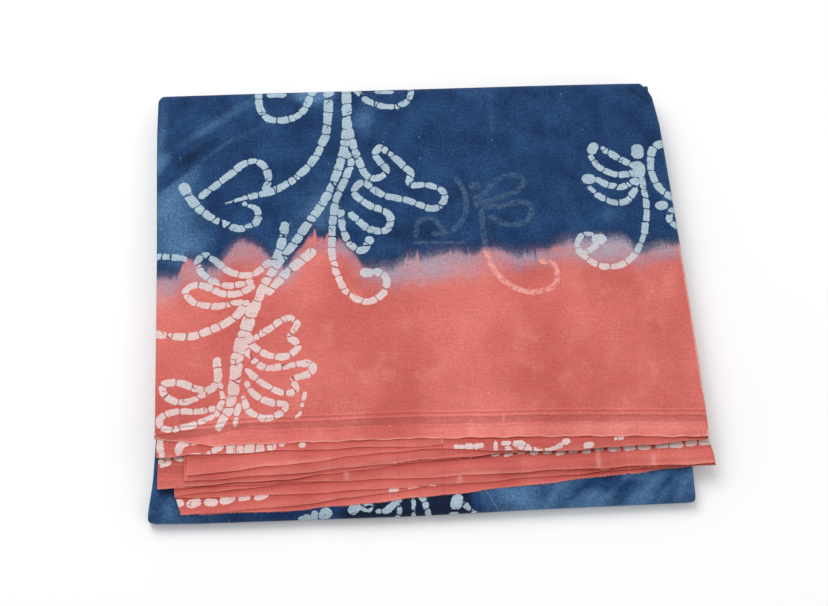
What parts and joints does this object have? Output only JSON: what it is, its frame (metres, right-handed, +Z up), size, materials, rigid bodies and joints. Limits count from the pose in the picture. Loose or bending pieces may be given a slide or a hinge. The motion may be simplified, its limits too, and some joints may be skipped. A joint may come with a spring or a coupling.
{
  "type": "folded saree",
  "caption": "Cotton saree folded into a flat rectangular pack, dip-dyed and resist-printed, with its selvedges fanned at the near side. Lies flat.",
  "frame": {"origin": "middle of the pack's bounding box, on the surface that it lies on", "axes": "+X along the cloth's length, towards the right when the selvedges face the viewer; +Y from the selvedges towards the far fold; +Z up"},
  "size_m": [0.411, 0.357, 0.0283],
  "materials": {
    "top_cloth": "plain-woven cotton, dip-dyed indigo to coral, pale resist-printed vine",
    "indigo_cloth": "plain-woven cotton, mottled indigo, pale resist-printed vine",
    "layered_cloth": "edges of folded cotton layers, indigo and coral",
    "coral_cloth": "plain-woven cotton, coral, with fine selvedge ridges"
  },
  "bodies": {
    "root": {"top_stretch": "top_cloth", "base_stretch": "indigo_cloth", "hidden_layers": "layered_cloth", "border_01": "coral_cloth", "border_02": "coral_cloth", "border_03": "coral_cloth", "border_04": "coral_cloth", "border_05": "coral_cloth", "border_06": "coral_cloth", "border_07": "coral_cloth", "border_08": "coral_cloth", "border_09": "coral_cloth", "border_10": "coral_cloth"}
  },
  "joints": []
}
